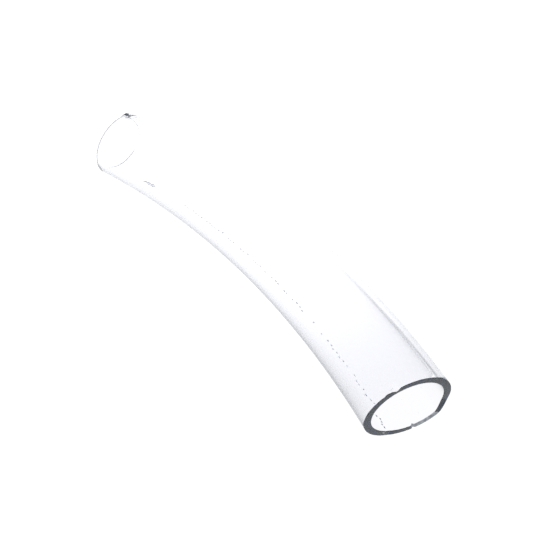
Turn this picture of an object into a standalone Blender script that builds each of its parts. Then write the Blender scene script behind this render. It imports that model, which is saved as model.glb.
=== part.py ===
"""A short length of clear flexible siphon hose: a thin-walled round tube, extruded in one piece, that keeps
a gentle bow from its coil and lies on its side on a table. Both ends are plain knife cuts, a few degrees
off square.

Metres, +Z up. The hose lies in the XY plane with its two ends on the X axis and its bow towards +Y.
The origin is at the middle of the bottom of its bounding box.
"""

import math

import bmesh
import bpy
from mathutils import Matrix, Vector

MM = 0.001

# Driving dimensions
BORE_DIAMETER = 12.7 * MM  # half an inch: the hose pushes over a 1/2 in racking cane or barb
WALL = 1.3 * MM
LENGTH = 96.0 * MM  # along the centreline, end to end
BOW_RADIUS = 190.0 * MM  # of the centreline

# Each knife cut's lean, in degrees: turned about the vertical, and tipped up from the horizontal
RIGHT_CUT_TURN = -1.5
RIGHT_CUT_TIP = -7.0
LEFT_CUT_TURN = 1.0
LEFT_CUT_TIP = 9.0

# Mesh resolution
SIDES = 48
STATIONS = 17  # cross-sections along the hose, its two cut ends included
END_CLEARANCE = 2.5 * MM  # from a cut to the first whole cross-section, clear of the leaning cut

OUTER_RADIUS = BORE_DIAMETER / 2 + WALL
BORE_RADIUS = BORE_DIAMETER / 2

VINYL_COLOUR = (0.86, 0.92, 0.96, 1.0)
VINYL_ROUGHNESS = 0.08
VINYL_IOR = 1.53
VINYL_TRANSMISSION = 0.95


def clear_scene():
    for obj in list(bpy.data.objects):
        bpy.data.objects.remove(obj, do_unlink=True)


def clear_vinyl():
    material = bpy.data.materials.new("clear_vinyl")
    material.use_nodes = True
    shader = material.node_tree.nodes["Principled BSDF"]
    shader.inputs["Base Color"].default_value = VINYL_COLOUR
    shader.inputs["Roughness"].default_value = VINYL_ROUGHNESS
    shader.inputs["Metallic"].default_value = 0.0
    shader.inputs["IOR"].default_value = VINYL_IOR
    shader.inputs["Transmission Weight"].default_value = VINYL_TRANSMISSION
    return material


def centreline(distance):
    """The point and the forward direction at this distance from the middle of the hose, positive to the right."""
    turn = distance / BOW_RADIUS
    half_turn = LENGTH / 2 / BOW_RADIUS
    point = Vector((
        BOW_RADIUS * math.sin(turn),
        BOW_RADIUS * (math.cos(turn) - math.cos(half_turn)),
        OUTER_RADIUS,
    ))
    return point, Vector((math.cos(turn), -math.sin(turn), 0.0))


def cut_normal(outward, turn_degrees, tip_degrees):
    """An end's outward direction, turned about the vertical and tipped up."""
    turned = Matrix.Rotation(math.radians(turn_degrees), 3, "Z") @ outward
    tip = math.radians(tip_degrees)
    return turned * math.cos(tip) + Vector((0.0, 0.0, math.sin(tip)))


def ring_points(distance, radius, normal=None):
    """One cross-section's points. With a normal, they slide along the hose onto the plane of a cut."""
    centre, forward = centreline(distance)
    side = Vector((-forward.y, forward.x, 0.0))
    points = []
    for step in range(SIDES):
        angle = 2 * math.pi * step / SIDES
        arm = radius * (math.cos(angle) * side + math.sin(angle) * Vector((0.0, 0.0, 1.0)))
        slide = -arm.dot(normal) / forward.dot(normal) if normal else 0.0
        points.append(centre + arm + slide * forward)
    return points


def station_distances():
    """Whole cross-sections between the two cuts, evenly spaced."""
    reach = LENGTH / 2 - END_CLEARANCE
    gaps = STATIONS - 3
    return [-reach + 2 * reach * step / gaps for step in range(gaps + 1)]


def skin(mesh, radius, left_normal, right_normal):
    """The rings of vertices of one skin of the wall, from the left cut to the right one."""
    rings = [ring_points(-LENGTH / 2, radius, left_normal)]
    rings += [ring_points(distance, radius) for distance in station_distances()]
    rings.append(ring_points(LENGTH / 2, radius, right_normal))
    return [[mesh.verts.new(point) for point in ring] for ring in rings]


def join(mesh, first, second, flip=False):
    """A band of quads between two rings."""
    faces = []
    for step in range(SIDES):
        after = (step + 1) % SIDES
        corners = [first[step], first[after], second[after], second[step]]
        faces.append(mesh.faces.new(corners[::-1] if flip else corners))
    return faces


def siphon_hose():
    _, right_forward = centreline(LENGTH / 2)
    _, left_forward = centreline(-LENGTH / 2)
    right_normal = cut_normal(right_forward, RIGHT_CUT_TURN, RIGHT_CUT_TIP)
    left_normal = cut_normal(-left_forward, LEFT_CUT_TURN, LEFT_CUT_TIP)

    mesh = bmesh.new()
    outer = skin(mesh, OUTER_RADIUS, left_normal, right_normal)
    inner = skin(mesh, BORE_RADIUS, left_normal, right_normal)
    for first, second in zip(outer, outer[1:]):
        for face in join(mesh, first, second):
            face.smooth = True
    for first, second in zip(inner, inner[1:]):
        for face in join(mesh, first, second, flip=True):
            face.smooth = True
    join(mesh, inner[0], outer[0])
    join(mesh, outer[-1], inner[-1])
    bmesh.ops.recalc_face_normals(mesh, faces=mesh.faces)

    data = bpy.data.meshes.new("siphon_hose")
    mesh.to_mesh(data)
    mesh.free()
    data.materials.append(clear_vinyl())
    hose = bpy.data.objects.new("siphon_hose", data)
    bpy.context.scene.collection.objects.link(hose)
    return hose


def centre_on_base(obj):
    """Move the object so that the origin is at the middle of the bottom of its box."""
    corners = [vertex.co for vertex in obj.data.vertices]
    low = Vector(min(point[axis] for point in corners) for axis in range(3))
    high = Vector(max(point[axis] for point in corners) for axis in range(3))
    obj.location = -Vector(((low.x + high.x) / 2, (low.y + high.y) / 2, low.z))


clear_scene()
centre_on_base(siphon_hose())
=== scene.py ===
"""The looks of a short length of clear flexible siphon hose: a bowed, thin-walled vinyl tube with two
knife-cut ends and a worn line of print along its underside, lying on a white light table in soft light.

Metres, +Z up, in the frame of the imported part: the hose lies level, its ends point along X and its bow
towards +Y. The left end is the one at -X. The constants that are angles round the section are in degrees.
0 is the outside of the bow and 90 is up.
"""

import math
import random

import bpy
from mathutils import Matrix, Vector, noise


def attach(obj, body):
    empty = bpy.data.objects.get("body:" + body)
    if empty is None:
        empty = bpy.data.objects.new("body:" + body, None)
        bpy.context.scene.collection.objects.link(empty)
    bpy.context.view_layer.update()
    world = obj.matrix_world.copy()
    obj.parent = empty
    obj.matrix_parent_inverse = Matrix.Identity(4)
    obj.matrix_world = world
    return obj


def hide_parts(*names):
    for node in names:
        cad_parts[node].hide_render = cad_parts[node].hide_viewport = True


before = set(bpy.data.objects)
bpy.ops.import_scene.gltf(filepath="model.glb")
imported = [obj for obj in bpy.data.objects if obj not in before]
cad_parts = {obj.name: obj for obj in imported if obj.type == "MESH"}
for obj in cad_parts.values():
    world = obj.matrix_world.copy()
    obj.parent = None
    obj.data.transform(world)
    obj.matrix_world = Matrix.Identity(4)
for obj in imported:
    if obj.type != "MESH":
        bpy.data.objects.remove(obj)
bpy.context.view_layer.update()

MM = 0.001

# The hose's route and section, as in the part's own source
BORE_DIAMETER = 12.7 * MM
WALL = 1.3 * MM
LENGTH = 96.0 * MM
BOW_RADIUS = 190.0 * MM
RIGHT_CUT_TURN = -1.5
RIGHT_CUT_TIP = -7.0
LEFT_CUT_TURN = 1.0
LEFT_CUT_TIP = 9.0

BORE_RADIUS = BORE_DIAMETER / 2
OUTER_RADIUS = BORE_RADIUS + WALL
HALF_TURN = LENGTH / 2 / BOW_RADIUS

# Mesh resolution
SIDES = 240
STATIONS = 130
EDGE_STEPS = 4  # across each rounded edge of a cut
FACE_STEPS = 6  # across each cut face
CENTRING_STEPS = 720  # round each rim, when the middle of the hose's box is found
SAME_RADIUS = 1e-9  # radii that differ by less are the same

# The left end: its outer edge is rounder where it is worn, scuffed over most of its top and raised in a burr
EDGE_RADIUS = 0.07 * MM  # on a fresh cut
FAR_EDGE_RADIUS = 0.30 * MM
FAR_WORN_START = 62.0
FAR_WORN_END = 104.0
FAR_ROUND_END = 300.0
FAR_ROUND_FADE = 25.0
FAR_WEAR = 1.0
FAR_WEAR_EVEN = 0.75  # the share of the wear that is the same all along
FAR_WEAR_PATCH = 14.0  # the size of its patches
FAR_WEAR_START = 64.0
FAR_WEAR_END = 196.0
FAR_BURR_ANGLE = 76.0
FAR_BURR_HALF_WIDTH = 15.0
FAR_BURR_HEIGHT = 0.50 * MM
FAR_BURR_LENGTH = 0.8 * MM

# The knife's ripples on both cuts
RIPPLE_HEIGHT = 0.006 * MM
RIPPLE_SPACING = 1.1 * MM
RIPPLE_LEAN = 0.2

# The right end: cut in two strokes, which meet in a kink and a nick, and shaved beside a small burr
STROKE_HEIGHT = 0.52 * MM
STROKE_START = 252.0
STROKE_PEAK = 323.0
STROKE_END = 353.0
STROKE_POWER = 0.8
NICK_ANGLE = 288.0
NICK_HALF_WIDTH = 2.4
NICK_DEPTH = 0.28 * MM
TORN_START = 290.5
TORN_END = 327.0
SHAVED_ANGLE = 115.5
SHAVED_HALF_WIDTH = 7.0
SHAVED_DEPTH = 0.55 * MM
SHAVED_LENGTH = 1.8 * MM
BURR_ANGLE = 127.0
BURR_HALF_WIDTH = 5.0
BURR_HEIGHT = 0.18 * MM
BURR_LENGTH = 0.7 * MM

# Unevenness of the extruded section
OVAL_HEIGHT = 0.03 * MM
OVAL_WAVE = 45.0 * MM
OVAL_ROUND = 0.7  # waves round the section

# Painted shade, given to the wall where it is seen edge on: along the inside of the bow, above and below, in
# a narrow streak near the right end and in the bore, stronger towards the right end. A power of the cosine
# gives how narrow each patch is.
EDGE_SHADE_START = -48.0 * MM
EDGE_SHADE_END = 12.0 * MM
EDGE_SHADE_AT_START = 0.75
EDGE_SHADE_ANGLE = 200.0
EDGE_SHADE_POWER = 1.5
# Painted shade above and below the hose
TOP_BOTTOM_SHADE = 0.55
TOP_BOTTOM_SHADE_ANGLES = (95.0, 282.0)
TOP_BOTTOM_SHADE_POWER = 4
# Painted shade in the bore near the right end
BORE_SHADE_START = 16.0 * MM
BORE_SHADE_END = 38.0 * MM
BORE_SHADE_ANGLE = 48.0
BORE_SHADE = 1.0
BORE_SHADE_POWER = 4
# Painted shade in a narrow streak on the skin near the right end
STREAK_START = 12.0 * MM
STREAK_FULL = 40.0 * MM
STREAK_SHADE = 2.7
STREAK_START_ANGLE = 74.0
STREAK_END_ANGLE = 60.5
STREAK_HALF_WIDTH = 6.0

UP = Vector((0.0, 0.0, 1.0))


# ---------------------------------------------------------------- route

def bow(distance):
    """The centreline's point and forward direction at this distance from its middle, before centring."""
    turn = distance / BOW_RADIUS
    point = Vector((
        BOW_RADIUS * math.sin(turn),
        BOW_RADIUS * (math.cos(turn) - math.cos(HALF_TURN)),
        OUTER_RADIUS,
    ))
    return point, Vector((math.cos(turn), -math.sin(turn), 0.0))


def cut_normal(outward, turn_degrees, tip_degrees):
    """An end's outward direction, turned about the vertical and tipped up."""
    turned = Matrix.Rotation(math.radians(turn_degrees), 3, "Z") @ outward
    tip = math.radians(tip_degrees)
    return turned * math.cos(tip) + UP * math.sin(tip)


RIGHT_NORMAL = cut_normal(bow(LENGTH / 2)[1], RIGHT_CUT_TURN, RIGHT_CUT_TIP)
LEFT_NORMAL = cut_normal(-bow(-LENGTH / 2)[1], LEFT_CUT_TURN, LEFT_CUT_TIP)


def arm(distance, angle):
    """The unit vector from the centreline to the skin at this angle round the section."""
    forward = bow(distance)[1]
    side = Vector((-forward.y, forward.x, 0.0))
    return math.cos(angle) * side + math.sin(angle) * UP


def cut_distance(end, normal, angle, radius):
    """How far along the hose a cut is, on the line that runs along the skin at this angle."""
    forward = bow(end)[1]
    return end - radius * arm(end, angle).dot(normal) / forward.dot(normal)


def on_hose(distance, angle, radius):
    """A point at this distance along the hose and this far out from its centreline, in the part's frame."""
    return bow(distance)[0] + radius * arm(distance, angle) + CENTRING


def centring():
    """The move that puts the middle of the hose's box over the origin."""
    points = []
    for step in range(CENTRING_STEPS):
        angle = 2 * math.pi * step / CENTRING_STEPS
        for end, normal in ((LENGTH / 2, RIGHT_NORMAL), (-LENGTH / 2, LEFT_NORMAL)):
            distance = cut_distance(end, normal, angle, OUTER_RADIUS)
            points.append(bow(distance)[0] + OUTER_RADIUS * arm(distance, angle))
        points.append(bow(0.0)[0] + OUTER_RADIUS * arm(0.0, angle))
    middle = [(min(p[axis] for p in points) + max(p[axis] for p in points)) / 2 for axis in (0, 1)]
    return Vector((-middle[0], -middle[1], 0.0))


CENTRING = centring()


# ---------------------------------------------------------------- materials

def new_material(name):
    material = bpy.data.materials.new(name)
    material.use_nodes = True
    return material, material.node_tree, material.node_tree.nodes["Principled BSDF"]


def node(tree, kind, **values):
    """A new node. A value whose name is an input's goes to that input, and any other is a setting."""
    made = tree.nodes.new("ShaderNode" + kind)
    for name, value in values.items():
        socket = made.inputs.get(name.replace("_", " "))
        if socket is None:
            setattr(made, name, value)
        else:
            socket.default_value = value
    return made


VINYL_IOR = 1.53
ABSORPTION = (0.16, 0.20, 0.38, 1.0)
DENSITY = 62.0
SKIN_TINT = (0.995, 0.992, 1.0, 1.0)
# The dark tint of the painted edge shade, shared with the dust specks and the wear
SHADE_DUST_AND_WEAR_TINT = (0.11, 0.12, 0.14, 1.0)
EDGE_ON = 0.8
EDGE_POWER = 3.5
REFLECTION_TINT = (0.42, 0.58, 0.76, 1.0)

# Fine marks on the vinyl. Waves are to the metre, along the hose and across it. A cut is the two levels of
# the noise between which the mark comes in.
DUST_WAVES = (2600.0, 2600.0)
DUST_CUT = (0.70, 0.78)
DUST_AMOUNT = 0.25
DUST_ROUGHNESS = 0.5
DIE_LINE_WAVES = (18.0, 1400.0)
SCUFF_WAVES = (260.0, 5200.0)
SCUFF_CUT = (0.66, 0.74)
SCUFF_ROUGHNESS = 0.10
SKIN_RELIEF = (0.004 * MM, 0.5)  # a height and how strongly it shades

FIBRE_WAVES = (900.0, 1500.0)
FIBRE_CUT = (0.35, 0.65)
FIBRE_TINTS = (0.09, 0.10, 0.12, 1.0), (0.30, 0.32, 0.35, 1.0)
FIBRE_ROUGHNESS = (0.45, 0.75)
FIBRE_RELIEF = (0.03 * MM, 0.6)

INK_WAVES = (1800.0, 1800.0)
INK_CUT = (0.35, 0.65)
INK_TINTS = (0.52, 0.53, 0.55, 1.0), (0.84, 0.85, 0.86, 1.0)
INK_ROUGHNESS = (0.5, 0.8)
INK_RELIEF = (0.004 * MM, 0.4)
ROUGHNESS_CUT = (0.3, 0.7)


def hose_point(tree):
    """The point on the hose as if it lay straight: along it, and two ways across it."""
    return node(tree, "Attribute", attribute_name="wall").outputs["Vector"]


def stretched_noise(tree, point, waves, detail=2.0):
    """Noise with this many waves a metre along the hose and across it."""
    along, across = waves
    scaled = node(tree, "VectorMath", operation="MULTIPLY")
    scaled.inputs[1].default_value = (along, across, across)
    tree.links.new(point, scaled.inputs[0])
    made = node(tree, "TexNoise", Scale=1.0, Detail=detail)
    tree.links.new(scaled.outputs["Vector"], made.inputs["Vector"])
    return made.outputs["Fac"]


def ranged(tree, value, low, high, to_low, to_high):
    """The value, moved from one range to another and held inside it."""
    mapped = node(tree, "MapRange", From_Min=low, From_Max=high, To_Min=to_low, To_Max=to_high)
    tree.links.new(value, mapped.inputs["Value"])
    return mapped.outputs["Result"]


def combined(tree, operation, first, second):
    """A sum, product or the like of two sockets, or of a socket and a number."""
    made = node(tree, "Math", operation=operation)
    for socket, value in zip(made.inputs, (first, second)):
        if isinstance(value, float):
            socket.default_value = value
        else:
            tree.links.new(value, socket)
    return made.outputs["Value"]


def mixed_colour(tree, amount, first, second):
    made = node(tree, "Mix", data_type="RGBA")
    tree.links.new(amount, made.inputs["Factor"])
    colours = [socket for socket in made.inputs if socket.type == "RGBA"]
    colours[0].default_value = first
    colours[1].default_value = second
    return next(socket for socket in made.outputs if socket.type == "RGBA")


def raised(tree, height, relief_height, strength):
    bump = node(tree, "Bump", Distance=relief_height, Strength=strength)
    tree.links.new(height, bump.inputs["Height"])
    return bump.outputs["Normal"]


def clear_vinyl():
    material, tree, shader = new_material("clear_vinyl")
    links = tree.links
    shader.inputs["IOR"].default_value = VINYL_IOR
    shader.inputs["Transmission Weight"].default_value = 1.0
    shader.inputs["Specular Tint"].default_value = REFLECTION_TINT
    point = hose_point(tree)

    # Painted shade darkens the wall where it is seen edge on; dust specks and wear marks take the same dark
    # tint
    painted_shade = node(tree, "Attribute", attribute_name="painted_shade").outputs["Fac"]
    facing = node(tree, "LayerWeight", Blend=0.5).outputs["Facing"]
    edge_on = combined(tree, "POWER", ranged(tree, facing, 0.0, EDGE_ON, 0.0, 1.0), EDGE_POWER)
    dust = ranged(tree, stretched_noise(tree, point, DUST_WAVES), *DUST_CUT, 0.0, DUST_AMOUNT)
    wear = node(tree, "Attribute", attribute_name="wear").outputs["Fac"]
    marks = combined(tree, "MAXIMUM", dust, wear)
    amount = combined(tree, "MAXIMUM", combined(tree, "MULTIPLY", painted_shade, edge_on), marks)
    links.new(mixed_colour(tree, amount, SKIN_TINT, SHADE_DUST_AND_WEAR_TINT), shader.inputs["Base Color"])

    # Die lines run along the hose, with fine scuffs and dust on them
    die_lines = stretched_noise(tree, point, DIE_LINE_WAVES)
    scuffs = ranged(tree, stretched_noise(tree, point, SCUFF_WAVES), *SCUFF_CUT, 0.0, 1.0)
    height = combined(tree, "ADD", die_lines, scuffs)
    links.new(raised(tree, height, *SKIN_RELIEF), shader.inputs["Normal"])
    scuffed = combined(tree, "MULTIPLY", scuffs, SCUFF_ROUGHNESS)
    dusty = combined(tree, "MULTIPLY", dust, DUST_ROUGHNESS)
    links.new(combined(tree, "ADD", scuffed, dusty), shader.inputs["Roughness"])

    volume = node(tree, "VolumeAbsorption", Color=ABSORPTION, Density=DENSITY)
    links.new(volume.outputs["Volume"], tree.nodes["Material Output"].inputs["Volume"])
    return material


def patchy(name, patches, cut, tints, roughness, relief_height):
    """An opaque material whose colour, roughness and height follow one noise. patches makes it."""
    material, tree, shader = new_material(name)
    level = patches(tree, hose_point(tree))
    colour = mixed_colour(tree, ranged(tree, level, *cut, 0.0, 1.0), *tints)
    tree.links.new(colour, shader.inputs["Base Color"])
    tree.links.new(ranged(tree, level, *ROUGHNESS_CUT, *roughness), shader.inputs["Roughness"])
    tree.links.new(raised(tree, level, *relief_height), shader.inputs["Normal"])
    return material


def torn_vinyl():
    """Vinyl left dull and fibrous where the knife tore it."""
    def fibres(tree, point):
        return stretched_noise(tree, point, FIBRE_WAVES, detail=4.0)

    return patchy("torn_vinyl", fibres, FIBRE_CUT, FIBRE_TINTS, FIBRE_ROUGHNESS, FIBRE_RELIEF)


def print_ink():
    """Grey print, worn thin in places."""
    def thin_spots(tree, point):
        return stretched_noise(tree, point, INK_WAVES, detail=3.0)

    return patchy("print_ink", thin_spots, INK_CUT, INK_TINTS, INK_ROUGHNESS, INK_RELIEF)


# ---------------------------------------------------------------- hose

def bump_at(angle, middle, half_width):
    """A smooth rise from 0 to 1 and back, in degrees round the section."""
    away = abs((math.degrees(angle) - middle + 180.0) % 360.0 - 180.0) / half_width
    return 0.0 if away >= 1.0 else (1.0 + math.cos(math.pi * away)) / 2


def smooth(low, high, value):
    share = min(max((value - low) / (high - low), 0.0), 1.0)
    return share * share * (3.0 - 2.0 * share)


def stroke(angle):
    """How far the second knife stroke leaves the right end standing proud of the first."""
    turn = math.degrees(angle)
    if turn <= STROKE_START or turn >= STROKE_END:
        return 0.0
    if turn < STROKE_PEAK:
        return STROKE_HEIGHT * ((turn - STROKE_START) / (STROKE_PEAK - STROKE_START)) ** STROKE_POWER
    return STROKE_HEIGHT * smooth(STROKE_END, STROKE_PEAK, turn)


def relief(end, angle, radius):
    """How far an end's cut face stands out from its plane."""
    across = radius * math.cos(angle) + RIPPLE_LEAN * radius * math.sin(angle)
    ripple = RIPPLE_HEIGHT * math.sin(2 * math.pi * across / RIPPLE_SPACING)
    if end == "left":
        return ripple
    return ripple + stroke(angle) - NICK_DEPTH * bump_at(angle, NICK_ANGLE, NICK_HALF_WIDTH)


def rim(behind, angle, radius):
    """How far the right rim's skin is raised by the burr or shaved away, this far behind the cut."""
    outer_share = smooth(BORE_RADIUS, OUTER_RADIUS, radius)
    burr = BURR_HEIGHT * bump_at(angle, BURR_ANGLE, BURR_HALF_WIDTH)
    shaved = SHAVED_DEPTH * bump_at(angle, SHAVED_ANGLE, SHAVED_HALF_WIDTH)
    raised_by = burr * smooth(BURR_LENGTH, 0.0, behind) - shaved * smooth(SHAVED_LENGTH, 0.0, behind)
    return raised_by * outer_share


def far_rim(behind, angle, radius):
    """How far the left rim's skin is raised by its burr, this far behind the cut."""
    outer_share = smooth(BORE_RADIUS, OUTER_RADIUS, radius)
    burr = FAR_BURR_HEIGHT * bump_at(angle, FAR_BURR_ANGLE, FAR_BURR_HALF_WIDTH)
    return burr * smooth(FAR_BURR_LENGTH, 0.0, behind) * outer_share


def wear_at(angle, outer, share):
    """How scuffed the outer skin's last ring at the left cut is."""
    turn = math.degrees(angle)
    if not outer or share > 0.0 or not FAR_WEAR_START < turn < FAR_WEAR_END:
        return 0.0
    patch = noise.noise(Vector((turn / FAR_WEAR_PATCH, 0.0, 0.0)))
    return FAR_WEAR * (FAR_WEAR_EVEN + (1.0 - FAR_WEAR_EVEN) * patch)


def far_edge_scale(angle):
    """How much larger than a fresh cut's edge the left end's outer edge is here."""
    turn = math.degrees(angle)
    worn = smooth(FAR_WORN_START - FAR_ROUND_FADE, FAR_WORN_START, turn)
    worn *= smooth(FAR_ROUND_END + FAR_ROUND_FADE, FAR_ROUND_END, turn)
    return 1.0 + (FAR_EDGE_RADIUS / EDGE_RADIUS - 1.0) * worn


def torn(turn):
    """Whether the right cut is torn here: in the nick and along the second stroke."""
    return abs(turn - NICK_ANGLE) < NICK_HALF_WIDTH or TORN_START < turn < TORN_END


def uneven(distance, angle):
    """How far the section stands out of round here."""
    spot = Vector((distance / OVAL_WAVE, OVAL_ROUND * math.cos(angle), OVAL_ROUND * math.sin(angle)))
    return OVAL_HEIGHT * noise.noise(spot)


def painted_shade_at(distance, angle, outer):
    """How much painted shade the skin takes where it is seen edge on. Outside, it lies along the inside of
    the bow, above and below, and in a narrow streak near the right end. In the bore, it is under the
    streak."""
    def patch(middle, power):
        return max(0.0, math.cos(angle - math.radians(middle))) ** power

    if outer:
        under = patch(EDGE_SHADE_ANGLE, EDGE_SHADE_POWER)
        under *= EDGE_SHADE_AT_START + (1.0 - EDGE_SHADE_AT_START) * smooth(EDGE_SHADE_START, EDGE_SHADE_END, distance)
        share = (distance - STREAK_START) / (LENGTH / 2 - STREAK_START)
        line = STREAK_START_ANGLE + (STREAK_END_ANGLE - STREAK_START_ANGLE) * share
        streak = smooth(STREAK_START, STREAK_FULL, distance) * bump_at(angle, line, STREAK_HALF_WIDTH)
        top_and_bottom = sum(patch(middle, TOP_BOTTOM_SHADE_POWER) for middle in TOP_BOTTOM_SHADE_ANGLES)
        return under + STREAK_SHADE * streak + TOP_BOTTOM_SHADE * top_and_bottom
    over = patch(BORE_SHADE_ANGLE, BORE_SHADE_POWER)
    return BORE_SHADE * over * smooth(BORE_SHADE_START, BORE_SHADE_END, distance)


def section_rows():
    """The rows that go right round the wall's section: along the outer skin, over the right cut face, back
    along the bore and over the left cut face. Each is its share of the length, its radius and its depths
    below the left and right cuts."""
    rows = []

    def skin_rows(radius, shares):
        for share in shares:
            rows.append((share, radius, EDGE_RADIUS, EDGE_RADIUS))

    def end_rows(share, start, stop):
        sign = 1 if stop > start else -1
        edge = EDGE_RADIUS

        def add(radius, depth):
            rows.append((share, radius, depth, 0.0) if share == 0.0 else (share, radius, 0.0, depth))

        for step in range(1, EDGE_STEPS + 1):
            turn = math.pi / 2 * step / EDGE_STEPS
            add(start + sign * edge * (1 - math.cos(turn)), edge * (1 - math.sin(turn)))
        for step in range(1, FACE_STEPS):
            add(start + sign * edge + (stop - start - 2 * sign * edge) * step / FACE_STEPS, 0.0)
        for step in range(EDGE_STEPS):
            turn = math.pi / 2 * step / EDGE_STEPS
            add(stop - sign * edge * (1 - math.sin(turn)), edge * (1 - math.cos(turn)))

    shares = [step / STATIONS for step in range(STATIONS + 1)]
    skin_rows(OUTER_RADIUS, shares)
    end_rows(1.0, OUTER_RADIUS, BORE_RADIUS)
    skin_rows(BORE_RADIUS, shares[::-1])
    end_rows(0.0, BORE_RADIUS, OUTER_RADIUS)
    return rows


def hose_mesh():
    """The hose as one closed mesh. Its first material is the clear vinyl and its second the torn vinyl."""
    rows = section_rows()
    vertices = []
    walls = []
    painted_shades = []
    wears = []
    for share, radius, left_depth, right_depth in rows:
        for side in range(SIDES):
            angle = 2 * math.pi * side / SIDES
            left = cut_distance(-LENGTH / 2, LEFT_NORMAL, angle, radius) - relief("left", angle, radius)
            right = cut_distance(LENGTH / 2, RIGHT_NORMAL, angle, radius) + relief("right", angle, radius)
            below_skin = OUTER_RADIUS - radius
            below_cut = left_depth
            if below_skin <= EDGE_RADIUS and share == 0.0:
                below_skin *= far_edge_scale(angle)
                below_cut *= far_edge_scale(angle)
            first = left + below_cut
            distance = first + (right - right_depth - first) * share
            shaped = OUTER_RADIUS - below_skin + uneven(distance, angle)
            shaped += rim(right - distance, angle, radius) + far_rim(distance - left, angle, radius)
            vertices.append(on_hose(distance, angle, shaped))
            walls += (distance, radius * math.cos(angle), radius * math.sin(angle))
            outer = radius > (BORE_RADIUS + OUTER_RADIUS) / 2
            # How much painted shade the skin takes here, where it is seen edge on
            painted_shades.append(painted_shade_at(distance, angle, outer))
            wears.append(wear_at(angle, outer, share))
    faces = []
    slots = []
    for row, (share, radius, _, _) in enumerate(rows):
        after_row = (row + 1) % len(rows)
        share_after = rows[after_row][0]
        on_right_face = share == share_after == 1.0
        on_outer_edge = radius >= OUTER_RADIUS - EDGE_RADIUS - SAME_RADIUS
        on_left_edge = share == share_after == 0.0 and on_outer_edge
        for side in range(SIDES):
            after = (side + 1) % SIDES
            faces.append((
                row * SIDES + side,
                row * SIDES + after,
                after_row * SIDES + after,
                after_row * SIDES + side,
            ))
            turn = 360.0 * (side + 0.5) / SIDES
            worn = on_left_edge and FAR_WORN_START < turn < FAR_WORN_END
            slots.append(1 if worn or (on_right_face and torn(turn)) else 0)
    mesh = bpy.data.meshes.new("clear_hose")
    mesh.from_pydata(vertices, [], faces)
    mesh.polygons.foreach_set("material_index", slots)
    mesh.attributes.new("wall", "FLOAT_VECTOR", "POINT").data.foreach_set("vector", walls)
    mesh.attributes.new("painted_shade", "FLOAT", "POINT").data.foreach_set("value", painted_shades)
    mesh.attributes.new("wear", "FLOAT", "POINT").data.foreach_set("value", wears)
    mesh.shade_smooth()
    mesh.update()
    return mesh


def make_hose():
    mesh = hose_mesh()
    mesh.materials.append(clear_vinyl())
    mesh.materials.append(torn_vinyl())
    hose = bpy.data.objects.new("clear_hose", mesh)
    bpy.context.scene.collection.objects.link(hose)
    return hose


# ---------------------------------------------------------------- print

PRINT_SEED = 7
PRINT_THICKNESS = 0.015 * MM
PRINT_SUNK = 0.002 * MM  # into the skin
PRINT_START = -26.0 * MM
PRINT_END = 43.6 * MM
PRINT_LEFT_ANGLE = 265.0
PRINT_RIGHT_ANGLE = 249.5

# The dashes' ranges, in millimetres, and how many are left of the first row
DASH_LENGTH = (0.30, 0.60)
DASH_GAP = (0.35, 0.9)
DASH_WIDTH = (0.18, 0.32)
DASH_OFFSET = (-0.3, 0.3)
DASHES_LEFT = 0.8
HEAVY_LENGTH = (0.6, 0.8)  # as a share of the spacing
HEAVY_OFFSET = (-0.2, 0.2)

# Where the print is less worn: each group's start, count, spacing, offset round the section and width
HEAVY_GROUPS = (
    (-39.6 * MM, 5, 0.7 * MM, -0.5 * MM, 1.05 * MM),
    (43.9 * MM, 4, 0.60 * MM, 0.0 * MM, 0.28 * MM),
)


def print_angle(distance):
    """Where the row of print runs round the section, in degrees. It winds a little."""
    share = (distance + LENGTH / 2) / LENGTH
    return PRINT_LEFT_ANGLE + (PRINT_RIGHT_ANGLE - PRINT_LEFT_ANGLE) * share * share


def print_mesh():
    """A row of small dashes along the underside, as thin closed pads on the outer skin. They say nothing."""
    draw = random.Random(PRINT_SEED)
    vertices = []
    walls = []
    faces = []

    def pad(start, length, offset, width):
        first = len(vertices)
        for height in (-PRINT_SUNK, PRINT_THICKNESS):
            for along, across in ((0, -1), (1, -1), (1, 1), (0, 1)):
                distance = start + length * along
                angle = math.radians(print_angle(distance)) + (offset + across * width / 2) / OUTER_RADIUS
                radius = OUTER_RADIUS + uneven(distance, angle) + height
                vertices.append(on_hose(distance, angle, radius))
                walls.extend((distance, radius * math.cos(angle), radius * math.sin(angle)))
        faces.append((first, first + 1, first + 2, first + 3))
        faces.append((first + 7, first + 6, first + 5, first + 4))
        for side in range(4):
            after = (side + 1) % 4
            faces.append((first + after, first + side, first + 4 + side, first + 4 + after))

    distance = PRINT_START
    while distance < PRINT_END:
        length = draw.uniform(*DASH_LENGTH) * MM
        offset = draw.uniform(*DASH_OFFSET) * MM
        width = draw.uniform(*DASH_WIDTH) * MM
        if draw.random() < DASHES_LEFT:
            pad(distance, length, offset, width)
        distance += length + draw.uniform(*DASH_GAP) * MM
    for start, count, spacing, offset, width in HEAVY_GROUPS:
        for step in range(count):
            length = draw.uniform(*HEAVY_LENGTH) * spacing
            pad(start + step * spacing, length, offset + draw.uniform(*HEAVY_OFFSET) * MM, width)
    mesh = bpy.data.meshes.new("print_dashes")
    mesh.from_pydata(vertices, [], faces)
    mesh.attributes.new("wall", "FLOAT_VECTOR", "POINT").data.foreach_set("vector", walls)
    mesh.update()
    return mesh


def make_print():
    mesh = print_mesh()
    mesh.materials.append(print_ink())
    dashes = bpy.data.objects.new("print_dashes", mesh)
    bpy.context.scene.collection.objects.link(dashes)
    return dashes


# ---------------------------------------------------------------- stage

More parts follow.
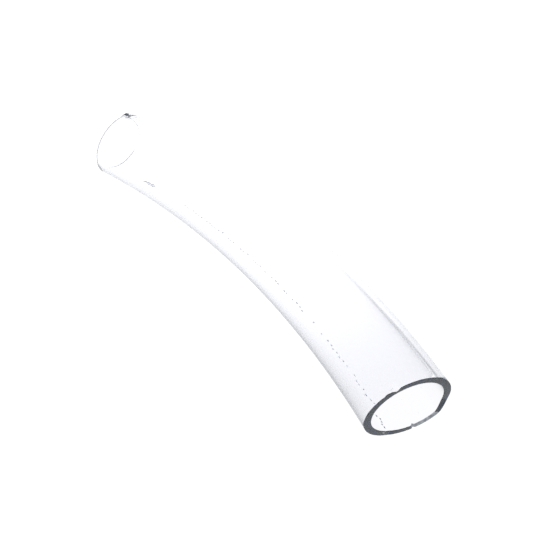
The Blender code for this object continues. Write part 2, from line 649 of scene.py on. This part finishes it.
LIGHT_FAR = 1.36
LIGHT_NEAR = 1.06
LIGHT_FAR_X = -5.0 * MM
LIGHT_NEAR_X = 42.0 * MM
WORLD_STRENGTH = 1.3
WHITE = (1.0, 1.0, 1.0, 1.0)
FLOOR_SIZE = 12.0
FLOOR_BELOW = 0.05 * MM
CAMERA_AZIMUTH = math.radians(53.18)
CAMERA_ELEVATION = math.radians(42.50)
CAMERA_AIM = Vector((10.05, -1.36, 7.65)) * MM
CAMERA_DISTANCE = 142.9  # in millimetres, as are the lens and the sensor
CAMERA_LENS = 49.6
CAMERA_SENSOR = 36.0
CAMERA_NEAREST = 0.005
GLASS_BOUNCES = 96


def floor_white():
    """A light table, a little brighter towards the hose's left end."""
    material, tree, shader = new_material("floor_white")
    tree.nodes.remove(shader)
    place = node(tree, "TexCoord")
    axes = node(tree, "SeparateXYZ")
    tree.links.new(place.outputs["Object"], axes.inputs["Vector"])
    falloff = node(
        tree,
        "MapRange",
        interpolation_type="SMOOTHSTEP",
        From_Min=LIGHT_FAR_X,
        From_Max=LIGHT_NEAR_X,
        To_Min=LIGHT_FAR,
        To_Max=LIGHT_NEAR,
    )
    tree.links.new(axes.outputs["X"], falloff.inputs["Value"])
    glow = node(tree, "Emission")
    tree.links.new(falloff.outputs["Result"], glow.inputs["Strength"])
    tree.links.new(glow.outputs["Emission"], tree.nodes["Material Output"].inputs["Surface"])
    return material


def make_stage():
    bpy.ops.mesh.primitive_plane_add(size=FLOOR_SIZE, location=(0.0, 0.0, -FLOOR_BELOW))
    floor = bpy.context.object
    floor.name = "floor"
    floor.data.materials.append(floor_white())
    world = bpy.data.worlds.new("studio")
    bpy.context.scene.world = world
    world.use_nodes = True
    background = world.node_tree.nodes["Background"]
    background.inputs["Color"].default_value = WHITE
    background.inputs["Strength"].default_value = WORLD_STRENGTH


def make_camera():
    back = Vector((
        math.sin(CAMERA_AZIMUTH) * math.cos(CAMERA_ELEVATION),
        -math.cos(CAMERA_AZIMUTH) * math.cos(CAMERA_ELEVATION),
        math.sin(CAMERA_ELEVATION),
    ))
    data = bpy.data.cameras.new("camera")
    data.lens = CAMERA_LENS
    data.sensor_width = CAMERA_SENSOR
    data.clip_start = CAMERA_NEAREST
    camera = bpy.data.objects.new("camera", data)
    camera.location = CAMERA_AIM + back * CAMERA_DISTANCE * MM
    camera.rotation_mode = "QUATERNION"
    camera.rotation_quaternion = (-back).to_track_quat("-Z", "Y")
    bpy.context.scene.collection.objects.link(camera)
    bpy.context.scene.camera = camera


def set_light_paths():
    scene = bpy.context.scene
    scene.view_settings.view_transform = "Standard"
    scene.cycles.blur_glossy = 0.0
    scene.cycles.max_bounces = GLASS_BOUNCES
    scene.cycles.transmission_bounces = GLASS_BOUNCES
    scene.cycles.glossy_bounces = GLASS_BOUNCES


make_camera()
make_stage()
set_light_paths()
hose = make_hose()
dashes = make_print()
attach(hose, "root")
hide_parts("siphon_hose")
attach(dashes, "root")
